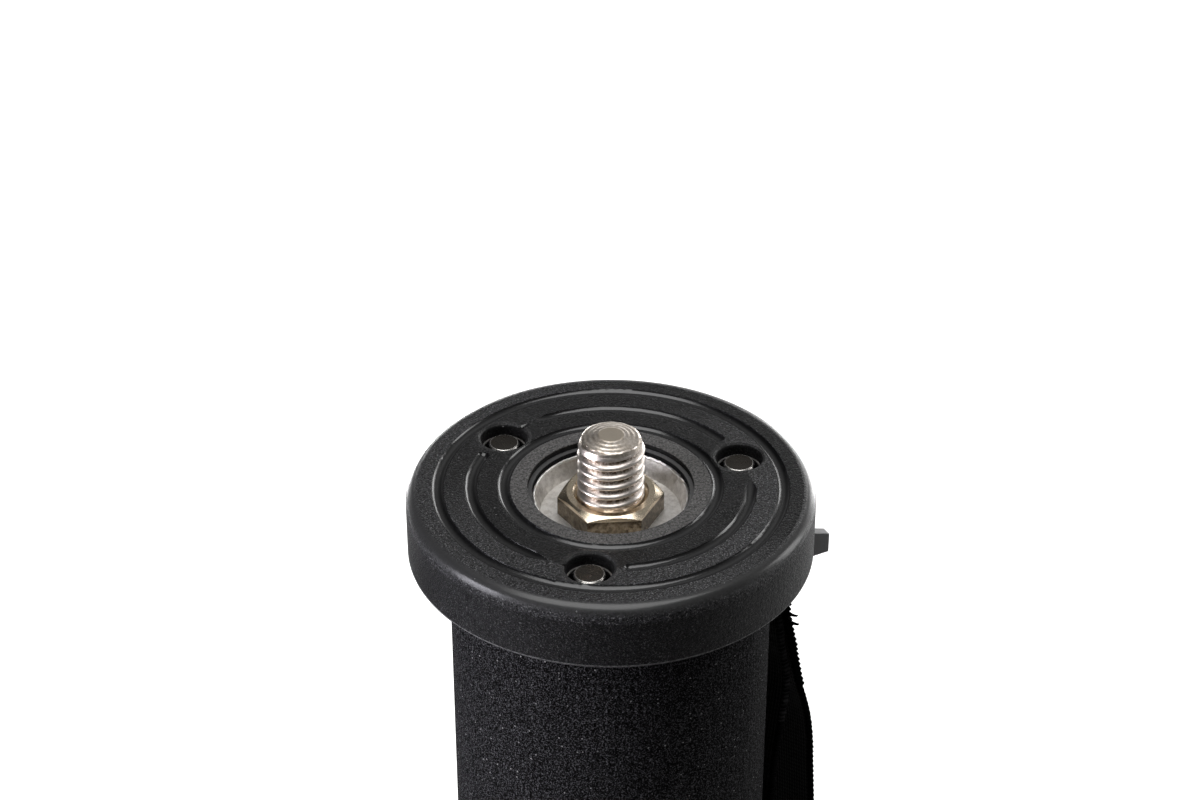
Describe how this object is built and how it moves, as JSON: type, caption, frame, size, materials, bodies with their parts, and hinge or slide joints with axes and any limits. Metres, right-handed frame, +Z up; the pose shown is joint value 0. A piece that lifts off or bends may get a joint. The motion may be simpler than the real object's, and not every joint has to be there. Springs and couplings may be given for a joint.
{
  "type": "camera monopod",
  "caption": "Telescopic camera monopod with a round screw-on head plate, foam grip, webbing wrist loop, cam-lever leg locks and a rubber foot.",
  "frame": {"origin": "centre of the rubber foot's flat sole", "axes": "+Z up along the leg to the camera stud, +X towards the wrist strap's lug"},
  "size_m": [0.0648, 0.0574, 0.525],
  "materials": {
    "plate_black": "fine grained black moulding with smooth grooves",
    "cast_alloy": "as-cast grey alloy",
    "stud_nickel": "bright nickel plate",
    "nut_nickel": "warm nickel plate",
    "screw_steel": "dull dark steel",
    "steel": "zinc plated",
    "collar_grey": "grey moulding",
    "webbing": "black woven nylon webbing",
    "foam": "closed-cell black foam",
    "tube_black": "black anodised",
    "tube_grey": "dark grey anodised",
    "bush_white": "natural acetal",
    "lock_black": "glass-filled black nylon",
    "lever_black": "satin black nylon",
    "shim_grey": "grey acetal",
    "foot_rubber": "black rubber"
  },
  "bodies": {
    "section_1": {"top_plate": "plate_black", "plate_core": "cast_alloy", "camera_stud": "stud_nickel", "stud_nut": "nut_nickel", "head_rivets": "steel", "strap_collar": "collar_grey", "foam_grip": "foam", "grip_ring": "collar_grey", "tube_1": "tube_black", "lock_collar_1": "lock_black", "lock_shim_1": "shim_grey", "lever_pin_1": "steel", "clamp_bolt_1": "steel", "wear_plate_1": "steel", "clamp_nut_1": "steel", "lock_grub_1": "screw_steel"},
    "section_2": {"tube_2": "tube_grey", "guide_bush_2": "bush_white", "lock_collar_2": "lock_black", "lock_shim_2": "shim_grey", "lever_pin_2": "steel", "clamp_bolt_2": "steel", "wear_plate_2": "steel", "clamp_nut_2": "steel", "lock_grub_2": "screw_steel"},
    "section_3": {"tube_3": "tube_grey", "guide_bush_3": "bush_white", "lock_collar_3": "lock_black", "lock_shim_3": "shim_grey", "lever_pin_3": "steel", "clamp_bolt_3": "steel", "wear_plate_3": "steel", "clamp_nut_3": "steel", "lock_grub_3": "screw_steel"},
    "section_4": {"tube_4": "tube_grey", "guide_bush_4": "bush_white", "foot_plug": "collar_grey", "foot_screw": "steel", "rubber_foot": "foot_rubber"},
    "strap": {"wrist_strap": "webbing"},
    "lever_1": {"lock_lever_1": "lever_black"},
    "screw_1": {"set_screw_1": "screw_steel"},
    "lever_2": {"lock_lever_2": "lever_black"},
    "screw_2": {"set_screw_2": "screw_steel"},
    "lever_3": {"lock_lever_3": "lever_black"},
    "screw_3": {"set_screw_3": "screw_steel"}
  },
  "joints": [
    {"name": "section_1_slide", "type": "slide", "parent": "section_2", "child": "section_1", "axis": [0, 0, 1], "range_m": [0, 0.3114]},
    {"name": "section_2_slide", "type": "slide", "parent": "section_3", "child": "section_2", "axis": [0, 0, 1], "range_m": [0, 0.3422]},
    {"name": "section_3_slide", "type": "slide", "parent": "section_4", "child": "section_3", "axis": [0, 0, 1], "range_m": [0, 0.373]},
    {"name": "lever_1_flip", "type": "hinge", "parent": "section_1", "child": "lever_1", "pos_m": [-0.024, 0.01185, 0.1109], "axis": [0, 0, 1], "range_deg": [0, 110]},
    {"name": "lever_2_flip", "type": "hinge", "parent": "section_2", "child": "lever_2", "pos_m": [-0.0215, 0.01185, 0.0759], "axis": [0, 0, 1], "range_deg": [0, 110]},
    {"name": "lever_3_flip", "type": "hinge", "parent": "section_3", "child": "lever_3", "pos_m": [-0.0192, 0.01185, 0.0409], "axis": [0, 0, 1], "range_deg": [0, 110]},
    {"name": "set_screw_1_travel", "type": "slide", "parent": "section_1", "child": "screw_1", "axis": [0, 0, 1], "range_m": [-0.0006, 0.0018]},
    {"name": "set_screw_2_travel", "type": "slide", "parent": "section_1", "child": "screw_2", "axis": [0, 0, 1], "range_m": [-0.0006, 0.0018]},
    {"name": "set_screw_3_travel", "type": "slide", "parent": "section_1", "child": "screw_3", "axis": [0, 0, 1], "range_m": [-0.0006, 0.0018]},
    {"name": "strap_swing", "type": "hinge", "parent": "section_1", "child": "strap", "pos_m": [0.02605, 0, 0.5031], "axis": [0, -1, 0], "range_deg": [0, 100]}
  ]
}
